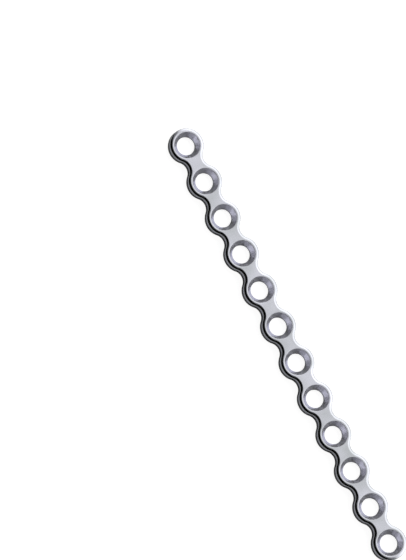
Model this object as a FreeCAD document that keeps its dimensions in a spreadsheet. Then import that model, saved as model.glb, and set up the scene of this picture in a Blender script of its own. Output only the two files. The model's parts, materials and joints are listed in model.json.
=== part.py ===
# Straight bone plate with a scalloped outline, for small tubular bones.
#
# The real plate is milled from one flat strip of implant steel. Round rings
# stand in a row, joined by narrower waists where it can be bent or cut to
# length. Each ring has a screw hole with a countersink for the screw's head,
# and a relief on the bone side that lets the screw be set at an angle.
# The top edge is well rounded, so that skin and tendons glide over it.
#
# Frame: +X along the plate and +Z up out of its top face. The origin is at
# the middle of the underside, the face that lies on the bone.

import FreeCAD, Part
import math
import os

from FreeCAD import Vector
from Sketcher import Constraint

UP = Vector(0, 0, 1)
SAME_HEIGHT = 1e-6

doc = FreeCAD.newDocument("StraightPlate")


# Driving dimensions in a sheet, lengths in millimetres and angles in degrees
sizes = doc.addObject("Spreadsheet::Sheet", "Sizes")
driving_dimensions = [
    ("hole_count", "12", "screw holes in the row"),
    ("hole_pitch", "5.0", "distance from one screw hole to the next"),
    ("ring_diameter", "4.3", "outside of the ring around each hole"),
    ("waist_width", "2.2", "narrowest width between two rings"),
    ("plate_thickness", "1.5", "underside to top face"),
    ("top_edge_radius", "0.3", "rounding of the top edge"),
    ("underside_edge_radius", "0.15", "rounding of the edge on the bone side"),
    ("hole_diameter", "2.3", "clearance for the screw's shaft"),
    ("countersink_diameter", "3.3", "countersink at the top face"),
    ("countersink_angle", "75", "full angle of the countersink's cone"),
    ("relief_width", "0.2", "how far each hole widens towards the bone"),
    ("relief_height", "0.45", "height of that widening, from the underside"),
]
for row, (name, value, meaning) in enumerate(driving_dimensions, start=1):
    sizes.set(f"A{row}", value)
    sizes.setAlias(f"A{row}", name)
    sizes.set(f"B{row}", meaning)
doc.recompute()

pitch = sizes.hole_pitch
ring_radius = sizes.ring_diameter / 2
waist_half_width = sizes.waist_width / 2
first_hole_x = -(sizes.hole_count - 1) * pitch / 2

# The sheet's expressions for what several sketches share
FIRST_HOLE_OFFSET = "(Sizes.hole_count - 1) * Sizes.hole_pitch / 2"
RING_RADIUS = "Sizes.ring_diameter / 2"


# The plate's body, and small helpers for its sketches
plate = doc.addObject("PartDesign::Body", "Plate")
plate.Label = "bone_plate"


def origin_feature(role):
    return next(f for f in plate.Origin.OriginFeatures if f.Role == role)


def new_sketch(name, plane_role):
    sketch = plate.newObject("Sketcher::SketchObject", name)
    sketch.AttachmentSupport = (origin_feature(plane_role), [""])
    sketch.MapMode = "FlatFace"
    return sketch


def add_arc(sketch, centre_x, centre_y, radius, start_angle, end_angle):
    circle = Part.Circle(Vector(centre_x, centre_y, 0), UP, radius)
    return sketch.addGeometry(Part.ArcOfCircle(circle, start_angle, end_angle), False)


def add_line(sketch, start, end, construction=False):
    line = Part.LineSegment(Vector(*start, 0), Vector(*end, 0))
    return sketch.addGeometry(line, construction)


def bind(sketch, name, constraint, expression):
    # A named constraint whose value follows the sheet
    index = sketch.addConstraint(constraint)
    sketch.renameConstraint(index, name)
    sketch.setExpression(f"Constraints.{name}", expression)


# Numbers that a sketch constraint uses for the ends of a line or an arc
START, END, CENTRE = 1, 2, 3
# Geometry number of the sketch's horizontal axis, and of its origin point
AXIS_X = -1
ORIGIN = (-1, 1)


# One link: half a ring, the waist, and half of the next ring.
# The waist's two concave arcs are tangent to both rings, and their radius
# follows from the pitch, the ring and the waist's width.
WAIST_RADIUS = (
    "((Sizes.hole_pitch / 2)^2 + (Sizes.waist_width / 2)^2 - (Sizes.ring_diameter / 2)^2)"
    " / (Sizes.ring_diameter - Sizes.waist_width)"
)
waist_radius = ((pitch / 2) ** 2 + waist_half_width**2 - ring_radius**2) / (
    2 * (ring_radius - waist_half_width)
)
waist_centre_x = first_hole_x + pitch / 2
waist_centre_y = waist_half_width + waist_radius
second_hole_x = first_hole_x + pitch
# Direction from a ring's centre to the point where the waist's arc begins
tangent_angle = math.atan2(waist_centre_y, pitch / 2)
quarter_turn = math.pi / 2
half_turn = math.pi

link_sketch = new_sketch("LinkSketch", "XY_Plane")
upper_first = add_arc(link_sketch, first_hole_x, 0, ring_radius, tangent_angle, quarter_turn)
upper_waist = add_arc(
    link_sketch, waist_centre_x, waist_centre_y, waist_radius,
    half_turn + tangent_angle, 2 * half_turn - tangent_angle,
)
upper_second = add_arc(
    link_sketch, second_hole_x, 0, ring_radius, quarter_turn, half_turn - tangent_angle
)
lower_second = add_arc(
    link_sketch, second_hole_x, 0, ring_radius, half_turn + tangent_angle, 3 * quarter_turn
)
lower_waist = add_arc(
    link_sketch, waist_centre_x, -waist_centre_y, waist_radius,
    tangent_angle, half_turn - tangent_angle,
)
lower_first = add_arc(
    link_sketch, first_hole_x, 0, ring_radius, -quarter_turn, -tangent_angle
)
first_side = add_line(link_sketch, (first_hole_x, -ring_radius), (first_hole_x, ring_radius))
second_side = add_line(link_sketch, (second_hole_x, ring_radius), (second_hole_x, -ring_radius))

link_sketch.addConstraint([
    Constraint("Tangent", upper_first, START, upper_waist, START),
    Constraint("Tangent", upper_waist, END, upper_second, END),
    Constraint("Tangent", lower_second, START, lower_waist, START),
    Constraint("Tangent", lower_waist, END, lower_first, END),
    Constraint("Coincident", first_side, END, upper_first, END),
    Constraint("Coincident", first_side, START, lower_first, START),
    Constraint("Coincident", second_side, START, upper_second, START),
    Constraint("Coincident", second_side, END, lower_second, END),
    Constraint("Coincident", upper_first, CENTRE, lower_first, CENTRE),
    Constraint("Coincident", upper_second, CENTRE, lower_second, CENTRE),
    Constraint("PointOnObject", upper_first, CENTRE, AXIS_X),
    Constraint("PointOnObject", upper_second, CENTRE, AXIS_X),
    Constraint("PointOnObject", upper_first, CENTRE, first_side),
    Constraint("PointOnObject", upper_second, CENTRE, second_side),
    Constraint("Vertical", first_side),
    Constraint("Vertical", second_side),
    Constraint("Equal", upper_first, upper_second),
    Constraint("Equal", upper_first, lower_second),
    Constraint("Equal", upper_first, lower_first),
    Constraint("Equal", upper_waist, lower_waist),
])
bind(
    link_sketch, "first_hole",
    Constraint("DistanceX", upper_first, CENTRE, *ORIGIN, -first_hole_x), FIRST_HOLE_OFFSET,
)
bind(
    link_sketch, "pitch",
    Constraint("DistanceX", upper_first, CENTRE, upper_second, CENTRE, pitch), "Sizes.hole_pitch",
)
bind(link_sketch, "ring", Constraint("Radius", upper_first, ring_radius), RING_RADIUS)
bind(link_sketch, "waist", Constraint("Radius", upper_waist, waist_radius), WAIST_RADIUS)

link_pad = plate.newObject("PartDesign::Pad", "LinkPad")
link_pad.Profile = link_sketch
link_pad.setExpression("Length", "Sizes.plate_thickness")
doc.recompute()

links = plate.newObject("PartDesign::LinearPattern", "Links")
links.Originals = [link_pad]
links.Direction = (origin_feature("X_Axis"), [""])
links.setExpression("Occurrences", "Sizes.hole_count - 1")
links.setExpression("Length", "(Sizes.hole_count - 2) * Sizes.hole_pitch")
links.Refine = True
plate.Tip = links
doc.recompute()


# The two ends: the outer half of the first ring, mirrored to the last ring
end_sketch = new_sketch("EndSketch", "XY_Plane")
end_arc = add_arc(end_sketch, first_hole_x, 0, ring_radius, quarter_turn, 3 * quarter_turn)
end_side = add_line(end_sketch, (first_hole_x, -ring_radius), (first_hole_x, ring_radius))
end_sketch.addConstraint([
    Constraint("Coincident", end_arc, START, end_side, END),
    Constraint("Coincident", end_arc, END, end_side, START),
    Constraint("PointOnObject", end_arc, CENTRE, AXIS_X),
    Constraint("PointOnObject", end_arc, CENTRE, end_side),
    Constraint("Vertical", end_side),
])
bind(
    end_sketch, "first_hole",
    Constraint("DistanceX", end_arc, CENTRE, *ORIGIN, -first_hole_x), FIRST_HOLE_OFFSET,
)
bind(end_sketch, "ring", Constraint("Radius", end_arc, ring_radius), RING_RADIUS)

end_pad = plate.newObject("PartDesign::Pad", "EndPad")
end_pad.Profile = end_sketch
end_pad.setExpression("Length", "Sizes.plate_thickness")
end_pad.Refine = True
doc.recompute()

ends = plate.newObject("PartDesign::Mirrored", "Ends")
ends.Originals = [end_pad]
ends.MirrorPlane = (origin_feature("YZ_Plane"), [""])
ends.Refine = True
plate.Tip = ends
doc.recompute()


# Rounded edges all the way round the outline, before the holes are cut
def edges_at_height(shape, height):
    names = []
    for number, edge in enumerate(shape.Edges, start=1):
        box = edge.BoundBox
        if abs(box.ZMin - height) < SAME_HEIGHT and abs(box.ZMax - height) < SAME_HEIGHT:
            names.append(f"Edge{number}")
    return names


def round_outline(name, base, height, radius_alias):
    fillet = plate.newObject("PartDesign::Fillet", name)
    fillet.Base = (base, edges_at_height(base.Shape, height))
    fillet.setExpression("Radius", f"Sizes.{radius_alias}")
    doc.recompute()
    return fillet


top_rounding = round_outline("TopRounding", ends, sizes.plate_thickness, "top_edge_radius")
underside_rounding = round_outline(
    "UndersideRounding", top_rounding, 0, "underside_edge_radius"
)


# One screw hole, turned about its own axis: the countersink's cone, the
# straight land below it and the relief on the bone side.
# The sketch stands on the XZ plane, so its second coordinate is the height.
CONE_DEPTH = (
    "(Sizes.countersink_diameter - Sizes.hole_diameter) / 2"
    " / tan(Sizes.countersink_angle / 2 * 1deg)"
)
hole_radius = sizes.hole_diameter / 2
countersink_radius = sizes.countersink_diameter / 2
thickness = sizes.plate_thickness
relief_width = sizes.relief_width
relief_height = sizes.relief_height
cone_depth = (countersink_radius - hole_radius) / math.tan(
    math.radians(sizes.countersink_angle / 2)
)

hole_sketch = new_sketch("ScrewHoleSketch", "XZ_Plane")
hole_profile = [
    (first_hole_x, 0),
    (first_hole_x + hole_radius + relief_width, 0),
    (first_hole_x + hole_radius, relief_height),
    (first_hole_x + hole_radius, thickness - cone_depth),
    (first_hole_x + countersink_radius, thickness),
    (first_hole_x, thickness),
]
sides = [
    add_line(hole_sketch, start, end)
    for start, end in zip(hole_profile, hole_profile[1:] + hole_profile[:1])
]
mouth_below, relief, land, cone, mouth_above, centre_side = sides
hole_axis = add_line(hole_sketch, hole_profile[0], hole_profile[-1], construction=True)

hole_sketch.addConstraint([
    Constraint("Coincident", side, END, next_side, START)
    for side, next_side in zip(sides, sides[1:] + sides[:1])
])
hole_sketch.addConstraint([
    Constraint("Horizontal", mouth_below),
    Constraint("Horizontal", mouth_above),
    Constraint("Vertical", land),
    Constraint("Vertical", centre_side),
    Constraint("PointOnObject", mouth_below, START, AXIS_X),
    Constraint("Coincident", hole_axis, START, mouth_below, START),
    Constraint("Coincident", hole_axis, END, mouth_above, END),
])
bind(
    hole_sketch, "first_hole",
    Constraint("DistanceX", mouth_below, START, *ORIGIN, -first_hole_x), FIRST_HOLE_OFFSET,
)
bind(
    hole_sketch, "land_radius",
    Constraint("DistanceX", mouth_below, START, land, START, hole_radius),
    "Sizes.hole_diameter / 2",
)
bind(
    hole_sketch, "countersink_radius",
    Constraint("DistanceX", mouth_above, END, mouth_above, START, countersink_radius),
    "Sizes.countersink_diameter / 2",
)
bind(
    hole_sketch, "relief_width",
    Constraint("DistanceX", relief, END, relief, START, relief_width), "Sizes.relief_width",
)
bind(
    hole_sketch, "relief_height",
    Constraint("DistanceY", relief, START, relief, END, relief_height), "Sizes.relief_height",
)
bind(
    hole_sketch, "cone_depth",
    Constraint("DistanceY", land, END, cone, END, cone_depth), CONE_DEPTH,
)
bind(
    hole_sketch, "top_face",
    Constraint("DistanceY", *ORIGIN, cone, END, thickness), "Sizes.plate_thickness",
)

screw_hole = plate.newObject("PartDesign::Groove", "ScrewHole")
screw_hole.Profile = hole_sketch
screw_hole.ReferenceAxis = (hole_sketch, ["Axis0"])
screw_hole.Angle = 360
doc.recompute()

screw_holes = plate.newObject("PartDesign::LinearPattern", "ScrewHoles")
screw_holes.Originals = [screw_hole]
screw_holes.Direction = (origin_feature("X_Axis"), [""])
screw_holes.setExpression("Occurrences", "Sizes.hole_count")
screw_holes.setExpression("Length", "(Sizes.hole_count - 1) * Sizes.hole_pitch")
screw_holes.Refine = True
plate.Tip = screw_holes
doc.recompute()


# Nothing is written unless every feature and sketch came out sound
for item in doc.Objects:
    if "Invalid" in item.State or "Error" in item.State:
        raise RuntimeError(f"{item.Name} failed: {item.State}")
for sketch in (link_sketch, end_sketch, hole_sketch):
    if sketch.solve() != 0:
        raise RuntimeError(f"{sketch.Name} has constraints that cannot be met")
if plate.Shape.isNull() or not plate.Shape.isValid() or len(plate.Shape.Solids) != 1:
    raise RuntimeError("the plate is not one valid solid")

# The holes took away what they should: the volume of the blank less the holes
def cone_volume(small_radius, large_radius, height):
    squares = small_radius**2 + small_radius * large_radius + large_radius**2
    return math.pi * height * squares / 3


land_height = thickness - cone_depth - relief_height
hole_volume = (
    cone_volume(hole_radius, countersink_radius, cone_depth)
    + math.pi * hole_radius**2 * land_height
    + cone_volume(hole_radius, hole_radius + relief_width, relief_height)
)
blank_volume = underside_rounding.Shape.Volume
expected_volume = blank_volume - sizes.hole_count * hole_volume
if abs(plate.Shape.Volume - expected_volume) > 0.001 * expected_volume:
    raise RuntimeError("the screw holes did not cut through")

os.makedirs("parts", exist_ok=True)
plate.Shape.exportStep(f"parts/{plate.Label}.step")

box = plate.Shape.BoundBox
print(f"{plate.Label}: {box.XLength:.3f} x {box.YLength:.3f} x {box.ZLength:.3f} mm")
print(f"volume {plate.Shape.Volume:.3f} mm3, waist arc radius {waist_radius:.3f} mm")
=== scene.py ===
# A straight bone plate of electropolished implant steel, seen from above on a white table.
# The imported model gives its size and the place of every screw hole.

import json
import math

import bmesh
import bpy
from mathutils import Euler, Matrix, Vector


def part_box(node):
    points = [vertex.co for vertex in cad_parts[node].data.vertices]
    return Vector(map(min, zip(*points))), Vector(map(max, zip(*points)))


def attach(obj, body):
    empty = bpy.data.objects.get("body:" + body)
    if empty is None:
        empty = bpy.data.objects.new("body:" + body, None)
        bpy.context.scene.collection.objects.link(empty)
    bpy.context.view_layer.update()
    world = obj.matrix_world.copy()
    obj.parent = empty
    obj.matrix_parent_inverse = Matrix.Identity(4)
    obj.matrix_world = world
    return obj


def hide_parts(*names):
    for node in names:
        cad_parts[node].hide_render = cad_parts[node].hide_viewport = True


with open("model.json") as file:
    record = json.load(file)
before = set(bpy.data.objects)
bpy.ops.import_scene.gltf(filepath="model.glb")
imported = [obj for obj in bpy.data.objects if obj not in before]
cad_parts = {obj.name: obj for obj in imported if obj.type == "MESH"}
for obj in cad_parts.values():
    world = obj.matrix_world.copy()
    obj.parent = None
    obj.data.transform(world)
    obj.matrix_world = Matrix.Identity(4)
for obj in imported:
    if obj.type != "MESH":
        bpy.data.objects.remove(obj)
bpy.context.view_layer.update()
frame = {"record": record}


# The blank. The real plate is milled from one strip of steel: a row of rings with a
# waist between each two. Its top edge is rounded well over, for the skin that slides
# on it, and the edge on the bone side only a little. It is modelled in millimetres.
MM = 0.001
screw_mounts = [mount for mount in frame["record"]["mounts"] if mount["kind"] == "bore"]
hole_places = [mount["pos_m"][0] / MM for mount in screw_mounts]
pitch = hole_places[1] - hole_places[0]
plate_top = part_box("bone_plate")[1]
ring_radius = plate_top.y / MM
thickness = plate_top.z / MM
waist_half_width = 1.1
underside_rounding = 0.2
underside_strips = 6
degrees_per_step = 4
nearly = 0.001
# The top edge's section, from the flank to the flat top: the radius of each arc, and the
# slope at its foot and at its head. It swells gently out of the top and ends in a tight edge.
top_edge_arcs = ((0.12, 90, 35), (0.66, 35, 11), (0.25, 11, 0))
strips_per_arc = 6

waist_radius = ((pitch / 2) ** 2 + waist_half_width**2 - ring_radius**2) / (
    2 * (ring_radius - waist_half_width)
)
waist_centre_y = waist_half_width + waist_radius
tangent_angle = math.atan2(waist_centre_y, pitch / 2)


def carry_round(centre_x, centre_y, angle):
    # Draws the outline on by one arc from the vertex that is selected. The operator
    # turns the other way than the angle says, as seen from above.
    steps = round(abs(math.degrees(angle)) / degrees_per_step)
    bpy.ops.mesh.spin(
        steps=steps, angle=-angle, center=(centre_x, centre_y, 0), axis=(0, 0, 1)
    )


def select_edges(wanted):
    mesh = bmesh.from_edit_mesh(bpy.context.object.data)
    bpy.ops.mesh.select_mode(type="EDGE")
    bpy.ops.mesh.select_all(action="DESELECT")
    for edge in mesh.edges:
        edge.select_set(wanted(edge))
    bmesh.update_edit_mesh(bpy.context.object.data)


def select_faces(wanted):
    mesh = bmesh.from_edit_mesh(bpy.context.object.data)
    bpy.ops.mesh.select_mode(type="FACE")
    bpy.ops.mesh.select_all(action="DESELECT")
    for face in mesh.faces:
        face.select_set(wanted(face))
    bmesh.update_edit_mesh(bpy.context.object.data)


def lies_at(height):
    return lambda element: all(abs(v.co.z - height) < nearly for v in element.verts)


def strips_of(radius, foot_slope, head_slope):
    # How far in and how far up each strip of one arc of the section goes
    turn_of_strip = (head_slope - foot_slope) / strips_per_arc
    slopes = [
        math.radians(foot_slope + turn_of_strip * step) for step in range(strips_per_arc + 1)
    ]
    return [
        (radius * (math.sin(foot) - math.sin(head)), radius * (math.cos(head) - math.cos(foot)))
        for foot, head in zip(slopes, slopes[1:])
    ]


top_edge_strips = [strip for arc in top_edge_arcs for strip in strips_of(*arc)]
flank_height = thickness - sum(rise for inward, rise in top_edge_strips)


bpy.ops.object.select_all(action="DESELECT")
bpy.ops.mesh.primitive_plane_add(size=1, location=(hole_places[0] - ring_radius, 0, 0))
plate = bpy.context.object
plate.name = "plate"
bpy.ops.object.transform_apply(location=True)
bpy.ops.object.mode_set(mode="EDIT")
bpy.ops.mesh.merge(type="CENTER")
end_arc = math.pi - tangent_angle
ring_arc = math.pi - 2 * tangent_angle
for hole_x in hole_places:
    is_last = hole_x == hole_places[-1]
    carry_round(hole_x, 0, -end_arc if is_last or hole_x == hole_places[0] else -ring_arc)
    if not is_last:
        carry_round(hole_x + pitch / 2, waist_centre_y, ring_arc)
bpy.ops.object.mode_set(mode="OBJECT")
other_half = plate.modifiers.new("other_half", "MIRROR")
other_half.use_axis = (False, True, False)
other_half.merge_threshold = nearly
bpy.ops.object.modifier_apply(modifier=other_half.name)

bpy.ops.object.mode_set(mode="EDIT")
bpy.ops.mesh.select_all(action="SELECT")
bpy.ops.mesh.edge_face_add()
bpy.ops.mesh.extrude_region_move(TRANSFORM_OT_translate={"value": (0, 0, flank_height)})
select_edges(lies_at(0))
bpy.ops.mesh.bevel(
    offset=underside_rounding,
    segments=underside_strips,
    profile=0.5,
    affect="EDGES",
    clamp_overlap=False,
)
select_faces(lies_at(flank_height))
for inward, rise in top_edge_strips:
    bpy.ops.mesh.inset(thickness=inward, depth=rise)
# The top and the underside come off, and are filled again round the holes.
select_faces(lambda face: len(face.verts) > 4)
bpy.ops.mesh.delete(type="ONLY_FACE")
bpy.ops.object.mode_set(mode="OBJECT")


# The screw holes. Each is drilled, countersunk from above for the screw's head and
# relieved from below. Its rim lies in a shallow dish, where the burr was dressed off.
hole_radius = screw_mounts[0]["dims"]["r_mm"]
land_length = screw_mounts[0]["dims"]["length_mm"]
countersink_radius = 1.65
countersink_angle = math.radians(75)
relief_width = 0.2
dish_radius = 1.78
dish_slope = math.radians(1.2)
rim_break = 0.03
edge_break = 0.03
strips_per_break = 4
sides_of_a_hole = 96
weld_distance = 0.0001
flat_border = 0.01
smooth_below = math.radians(30)

cone_depth = (countersink_radius - hole_radius) / math.tan(countersink_angle / 2)
relief_height = thickness - cone_depth - land_length


def eased(before, corner, after, radius):
    # The points of the small arc that breaks one corner of the hole's profile
    to_before = (before - corner).normalized()
    to_after = (after - corner).normalized()
    half_corner = to_before.angle(to_after) / 2
    centre = corner + (to_before + to_after).normalized() * radius / math.sin(half_corner)
    start = (corner + to_before * radius / math.tan(half_corner) - centre).normalized()
    end = (corner + to_after * radius / math.tan(half_corner) - centre).normalized()
    return [
        centre + radius * start.slerp(end, step / strips_per_break)
        for step in range(strips_per_break + 1)
    ]


dish_edge = Vector((dish_radius, thickness))
rim_drop = (dish_radius - countersink_radius) * math.tan(dish_slope)
rim = Vector((countersink_radius, thickness - rim_drop))
land_top = Vector((hole_radius, thickness - cone_depth))
land_foot = Vector((hole_radius, relief_height))
mouth = Vector((hole_radius + relief_width, 0))
underside_flat = Vector((ring_radius, 0))
hole_profile = (
    [dish_edge]
    + eased(dish_edge, rim, land_top, rim_break)
    + eased(rim, land_top, land_foot, edge_break)
    + eased(land_top, land_foot, mouth, edge_break)
    + eased(land_foot, mouth, underside_flat, edge_break)
)

bpy.ops.mesh.primitive_circle_add(
    vertices=sides_of_a_hole, radius=hole_profile[0].x, location=(hole_places[0], 0, 0)
)
hole_walls = [bpy.context.object]
bpy.ops.object.mode_set(mode="EDIT")
bpy.ops.transform.translate(value=(0, 0, hole_profile[0].y))
for upper, lower in zip(hole_profile, hole_profile[1:]):
    bpy.ops.mesh.extrude_edges_move(
        TRANSFORM_OT_translate={"value": (0, 0, lower.y - upper.y)}
    )
    growth = lower.x / upper.x
    bpy.ops.transform.resize(value=(growth, growth, 1), center_override=(hole_places[0], 0, 0))
bpy.ops.object.mode_set(mode="OBJECT")
for hole_x in hole_places[1:]:
    bpy.ops.object.duplicate()
    bpy.ops.transform.translate(value=(pitch, 0, 0))
    hole_walls.append(bpy.context.object)
for piece in hole_walls + [plate]:
    piece.select_set(True)
bpy.context.view_layer.objects.active = plate
bpy.ops.object.join()

bpy.ops.object.mode_set(mode="EDIT")
bpy.ops.mesh.select_all(action="SELECT")
bpy.ops.mesh.remove_doubles(threshold=weld_distance)
for height in (thickness, 0):
    select_edges(lambda edge: edge.is_boundary and lies_at(height)(edge))
    bpy.ops.mesh.fill(use_beauty=True)
bpy.ops.mesh.select_all(action="SELECT")
bpy.ops.mesh.normals_make_consistent(inside=False)
# A narrow border round each flat keeps the shading level inside it.
select_faces(lies_at(thickness))
bpy.ops.mesh.inset(thickness=flat_border)
select_faces(lies_at(0))
bpy.ops.mesh.inset(thickness=flat_border)
bpy.ops.object.mode_set(mode="OBJECT")
bpy.ops.object.select_all(action="DESELECT")
plate.select_set(True)
bpy.ops.object.shade_smooth_by_angle(angle=smooth_below)
# The normals are weighted in millimetres, because in metres the faces are too small for it.
even_faces = plate.modifiers.new("even_faces", "WEIGHTED_NORMAL")
even_faces.keep_sharp = True
bpy.ops.object.modifier_apply(modifier=even_faces.name)
bpy.ops.object.mode_set(mode="EDIT")
bpy.ops.mesh.select_all(action="SELECT")
bpy.ops.transform.resize(value=(MM, MM, MM), center_override=(0, 0, 0))
bpy.ops.object.mode_set(mode="OBJECT")


# The polished finish. The milled blank is tumbled and then electropolished, which leaves
# implant steel as a cool grey, soft mirror: slightly wavy, and a little cloudy in colour.
def linear(hex_colour):
    # An sRGB colour such as "#C3C6CA" as the linear values that a shader takes
    channels = [int(hex_colour[place : place + 2], 16) / 255 for place in (1, 3, 5)]
    return [
        value / 12.92 if value <= 0.04045 else ((value + 0.055) / 1.055) ** 2.4
        for value in channels
    ] + [1.0]


def once_per(millimetres):
    # The scale of a pattern that repeats about once in so many millimetres
    return 1 / (millimetres * MM)


def add_node(tree, kind, inputs=(), **settings):
    node = tree.nodes.new(kind)
    for name, value in settings.items():
        setattr(node, name, value)
    sockets = {socket.identifier: socket for socket in node.inputs}
    for name, value in dict(inputs).items():
        if isinstance(value, bpy.types.NodeSocket):
            tree.links.new(value, sockets[name])
        else:
            sockets[name].default_value = value
    return node


polished = bpy.data.materials.new("electropolished_steel")
polished.use_nodes = True
tree = polished.node_tree
tree.nodes.clear()
place = add_node(tree, "ShaderNodeTexCoord").outputs["Object"]
clouds = add_node(
    tree, "ShaderNodeTexNoise", {"Vector": place, "Scale": once_per(2.5), "Detail": 1.0}
)
cloudy = add_node(
    tree,
    "ShaderNodeMapRange",
    {"Value": clouds.outputs["Fac"], "From Min": 0.3, "From Max": 0.7},
)
colour = add_node(
    tree,
    "ShaderNodeMix",
    {
        "Factor_Float": cloudy.outputs["Result"],
        "A_Color": linear("#B8BBBF"),
        "B_Color": linear("#CECFD8"),
    },
    data_type="RGBA",
)
satin = add_node(
    tree, "ShaderNodeTexNoise", {"Vector": place, "Scale": once_per(0.35), "Detail": 4.0}
)
roughness = add_node(
    tree,
    "ShaderNodeMapRange",
    {"Value": satin.outputs["Fac"], "To Min": 0.12, "To Max": 0.2},
)
waves = add_node(
    tree, "ShaderNodeTexNoise", {"Vector": place, "Scale": once_per(1.8), "Detail": 1.0}
)
wavy = add_node(
    tree,
    "ShaderNodeBump",
    {"Height": waves.outputs["Fac"], "Distance": 0.006 * MM, "Strength": 1.0},
)
steel = add_node(
    tree,
    "ShaderNodeBsdfPrincipled",
    {
        "Base Color": colour.outputs["Result"],
        "Metallic": 1.0,
        "Roughness": roughness.outputs["Result"],
        "Normal": wavy.outputs["Normal"],
    },
)
add_node(tree, "ShaderNodeOutputMaterial", {"Surface": steel.outputs["BSDF"]})
plate.data.materials.append(polished)


# The turned finish. The drill and the countersink leave very fine rings round each hole's
# axis. The polish reaches them less than the top, so the cones are a duller, cooler satin.
turned = bpy.data.materials.new("turned_steel")
turned.use_nodes = True
tree = turned.node_tree
tree.nodes.clear()
place = add_node(tree, "ShaderNodeTexCoord").outputs["Object"]
parts = add_node(tree, "ShaderNodeSeparateXYZ", {"Vector": place})
from_first = add_node(
    tree,
    "ShaderNodeMath",
    {"Value": parts.outputs["X"], "Value_001": hole_places[0] * MM},
    operation="SUBTRACT",
)
from_nearest = add_node(
    tree,
    "ShaderNodeMath",
    {
        "Value": from_first.outputs["Value"],
        "Value_001": pitch / 2 * MM,
        "Value_002": -pitch / 2 * MM,
    },
    operation="WRAP",
)
spoke = add_node(
    tree,
    "ShaderNodeCombineXYZ",
    {"X": from_nearest.outputs["Value"], "Y": parts.outputs["Y"]},
)
from_axis = add_node(
    tree, "ShaderNodeVectorMath", {"Vector": spoke.outputs["Vector"]}, operation="LENGTH"
)
down_the_wall = add_node(
    tree,
    "ShaderNodeMath",
    {"Value": from_axis.outputs["Value"], "Value_001": parts.outputs["Z"]},
    operation="ADD",
)
rings = add_node(
    tree,
    "ShaderNodeTexNoise",
    {"W": down_the_wall.outputs["Value"], "Scale": once_per(0.16), "Detail": 2.0},
    noise_dimensions="1D",
)
grooved = add_node(
    tree,
    "ShaderNodeBump",
    {"Height": rings.outputs["Fac"], "Distance": 0.001 * MM, "Strength": 1.0},
)
roughness = add_node(
    tree,
    "ShaderNodeMapRange",
    {"Value": rings.outputs["Fac"], "To Min": 0.07, "To Max": 0.1},
)
steel = add_node(
    tree,
    "ShaderNodeBsdfPrincipled",
    {
        "Base Color": linear("#E2E2ED"),
        "Metallic": 0.7,
        "Roughness": roughness.outputs["Result"],
        "Normal": grooved.outputs["Normal"],
    },
)
add_node(tree, "ShaderNodeOutputMaterial", {"Surface": steel.outputs["BSDF"]})
plate.data.materials.append(turned)


# The milled finish. The flank, the holes' lands and their reliefs keep the cutter's satin, as
# the polish dwells on the top. Their greyer, warmer, darker colour is partly this finish and
# partly painted shade on these walls and recesses. The cutter's marks run round the outline.
long_marks = (0.15, 0.15, 1.0)
milled_with_painted_shade = bpy.data.materials.new("milled_steel_with_painted_shade")
milled_with_painted_shade.use_nodes = True
tree = milled_with_painted_shade.node_tree
tree.nodes.clear()
place = add_node(tree, "ShaderNodeTexCoord").outputs["Object"]
flattened = add_node(tree, "ShaderNodeMapping", {"Vector": place, "Scale": long_marks})
passes = add_node(
    tree,
    "ShaderNodeTexNoise",
    {"Vector": flattened.outputs["Vector"], "Scale": once_per(0.14), "Detail": 2.0},
)
ridged = add_node(
    tree,
    "ShaderNodeBump",
    {"Height": passes.outputs["Fac"], "Distance": 0.003 * MM, "Strength": 1.0},
)
# The darker colour is partly the milled finish and partly painted shade.
steel = add_node(
    tree,
    "ShaderNodeBsdfPrincipled",
    {
        "Base Color": linear("#B1B2A8"),
        "Metallic": 1.0,
        "Roughness": 0.16,
        "Normal": ridged.outputs["Normal"],
    },
)
add_node(tree, "ShaderNodeOutputMaterial", {"Surface": steel.outputs["BSDF"]})
plate.data.materials.append(milled_with_painted_shade)


# The finishes' faces. On the flank, the milled finish and its painted shade end part of the way
# up the top edge's rounding, and cover the lower rounding down to the underside's flat.
top_of_milled_and_shade = 0.78
foot_of_milled_and_shade = -0.999


def off_axis(middle):
    # How far a point is from the axis of the nearest hole, in millimetres
    return min(math.hypot(middle.x - hole_x, middle.y) for hole_x in hole_places)


def is_turned(face):
    middle = face.calc_center_median() / MM
    is_on_cone = land_top.y < middle.z < rim.y - rim_break / 2
    return off_axis(middle) < countersink_radius and is_on_cone


def is_milled_with_painted_shade(face):
    middle = face.calc_center_median() / MM
    if off_axis(middle) < countersink_radius:
        return edge_break / 2 < middle.z < land_top.y
    return foot_of_milled_and_shade < face.normal.z < top_of_milled_and_shade


bpy.ops.object.mode_set(mode="EDIT")
for finish, wanted in ((turned, is_turned), (milled_with_painted_shade, is_milled_with_painted_shade)):
    select_faces(wanted)
    plate.active_material_index = plate.data.materials.find(finish.name)
    bpy.ops.object.material_slot_assign()
bpy.ops.object.mode_set(mode="OBJECT")
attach(plate, "root")
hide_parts("bone_plate")


# The table is a wide white board. Seen straight it is lifted to white, with the plate's
# shadow left in it. In the steel the lift is a painted reflection, dimmer and a little lilac,
# and painted shade darkens it in the crevice where the plate meets it.
table_size = 12.0
board_lift = 0.93
crevice_sharpness = 24.0
crevice = 0.36
bpy.ops.object.select_all(action="DESELECT")
bpy.ops.mesh.primitive_plane_add(size=table_size, location=(0, 0, 0))
table = bpy.context.object
table.name = "table"
board = bpy.data.materials.new("white_board")
board.use_nodes = True
tree = board.node_tree
tree.nodes.clear()
ray = add_node(tree, "ShaderNodeLightPath")
mirrored = add_node(
    tree,
    "ShaderNodeMath",
    {"Value": ray.outputs["Is Glossy Ray"], "Value_001": ray.outputs["Is Transmission Ray"]},
    operation="ADD",
    use_clamp=True,
)
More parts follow.
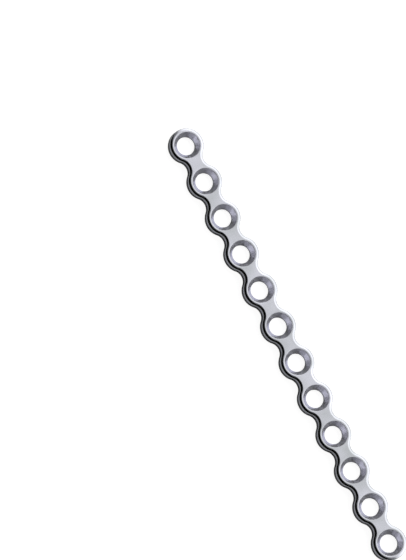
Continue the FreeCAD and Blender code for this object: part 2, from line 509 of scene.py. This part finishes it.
# Painted shade: the lift seen in the steel is darkened near the plate's foot.
openness = add_node(
    tree, "ShaderNodeAmbientOcclusion", {"Distance": crevice * MM}, samples=16
)
crevice_shade = add_node(
    tree,
    "ShaderNodeMath",
    {"Value": openness.outputs["AO"], "Value_001": crevice_sharpness},
    operation="POWER",
)
seen_in_steel = add_node(
    tree,
    "ShaderNodeMath",
    {"Value": mirrored.outputs["Value"], "Value_001": crevice_shade.outputs["Value"]},
    operation="MULTIPLY",
)
seen = add_node(
    tree,
    "ShaderNodeMath",
    {"Value": seen_in_steel.outputs["Value"], "Value_001": ray.outputs["Is Camera Ray"]},
    operation="ADD",
)
lift = add_node(
    tree,
    "ShaderNodeMath",
    {"Value": seen.outputs["Value"], "Value_001": board_lift},
    operation="MULTIPLY",
)
paint = add_node(tree, "ShaderNodeBsdfDiffuse", {"Color": linear("#9C9C9C")})
# Seen in the steel the lift is a painted lilac reflection; seen straight it is white.
lift_and_painted_reflection_tint = add_node(
    tree,
    "ShaderNodeMix",
    {
        "Factor_Float": ray.outputs["Is Camera Ray"],
        "A_Color": linear("#ACADC2"),
        "B_Color": linear("#FFFFFF"),
    },
    data_type="RGBA",
)
lifted = add_node(
    tree,
    "ShaderNodeEmission",
    {"Color": lift_and_painted_reflection_tint.outputs["Result"], "Strength": lift.outputs["Value"]},
)
both = add_node(
    tree,
    "ShaderNodeAddShader",
    {"Shader": paint.outputs["BSDF"], "Shader_001": lifted.outputs["Emission"]},
)
add_node(tree, "ShaderNodeOutputMaterial", {"Surface": both.outputs["Shader"]})
table.data.materials.append(board)


# The light. A big soft light stands on the plate's far side and fades just past the point
# overhead, and the near side is dim. Each level belongs to a place from near (0) to far (1).
near_level = 0.14
far_level = 0.7
levels_between = (
    (0.1, 0.12),
    (0.4, 0.15),
    (0.57, 0.15),
    (0.6, 0.4),
    (0.615, 0.55),
    (0.64, 0.57),
    (0.7, 0.84),
    (0.8, 1.0),
    (0.92, 1.0),
)
sky_strength = 1.75
studio = bpy.data.worlds.new("studio")
studio.use_nodes = True
tree = studio.node_tree
tree.nodes.clear()
direction = add_node(tree, "ShaderNodeTexCoord").outputs["Generated"]
towards = add_node(tree, "ShaderNodeSeparateXYZ", {"Vector": direction})
from_near_to_far = add_node(
    tree,
    "ShaderNodeMapRange",
    {"Value": towards.outputs["Y"], "From Min": -1.0, "From Max": 1.0},
)
glow = add_node(tree, "ShaderNodeValToRGB", {"Fac": from_near_to_far.outputs["Result"]})
near_glow, far_glow = glow.color_ramp.elements
near_glow.position, near_glow.color = 0.0, (near_level, near_level, near_level, 1)
far_glow.position, far_glow.color = 1.0, (far_level, far_level, far_level, 1)
for position, level in levels_between:
    glow.color_ramp.elements.new(position).color = (level, level, level, 1)
sky = add_node(
    tree, "ShaderNodeBackground", {"Color": glow.outputs["Color"], "Strength": sky_strength}
)
add_node(tree, "ShaderNodeOutputWorld", {"Surface": sky.outputs["Background"]})
bpy.context.scene.world = studio


# The black card. It hangs over the near side, from just short of overhead to more than
# halfway down to the horizon. The polished top edge shows it as its black line.
card_height = 1.35
card_edge = -0.165
card_depth = 1.915
card_width = 8.0
bpy.ops.mesh.primitive_plane_add(
    size=1.0, location=(0, card_edge - card_depth / 2, card_height)
)
card = bpy.context.object
card.name = "black_card"
card.scale = (card_width, card_depth, 1.0)
bpy.ops.object.transform_apply(location=True, rotation=True, scale=True)
velvet = bpy.data.materials.new("black_velvet")
velvet.use_nodes = True
tree = velvet.node_tree
tree.nodes.clear()
nap = add_node(tree, "ShaderNodeBsdfDiffuse", {"Color": linear("#060606")})
add_node(tree, "ShaderNodeOutputMaterial", {"Surface": nap.outputs["BSDF"]})
card.data.materials.append(velvet)


# The camera looks down on the plate through a very long lens. It leans a little to the
# side and a little to the far end, and the plate runs from the upper left to the lower right.
lean_to_side = math.radians(15.5)
lean_to_end = math.radians(2.0)
turn = math.radians(63.5)
camera_distance = 1.0
pixels_per_mm = 8.118
plate_right_of_middle = 85.6 / pixels_per_mm * MM
plate_below_middle = 63.75 / pixels_per_mm * MM
frame_height = 560
bpy.ops.object.camera_add()
camera = bpy.context.object
bpy.context.scene.camera = camera
turned_and_leant = (
    Euler((0, lean_to_end, 0)).to_matrix()
    @ Euler((lean_to_side, 0, 0)).to_matrix()
    @ Euler((0, 0, turn)).to_matrix()
)
camera.rotation_euler = turned_and_leant.to_euler()
camera.location = Vector((0, 0, plate_top.z)) + turned_and_leant @ Vector(
    (-plate_right_of_middle, plate_below_middle, camera_distance)
)
camera.data.lens = (
    camera.data.sensor_width * pixels_per_mm * camera_distance / MM / frame_height
)
bpy.context.scene.view_settings.view_transform = "Standard"
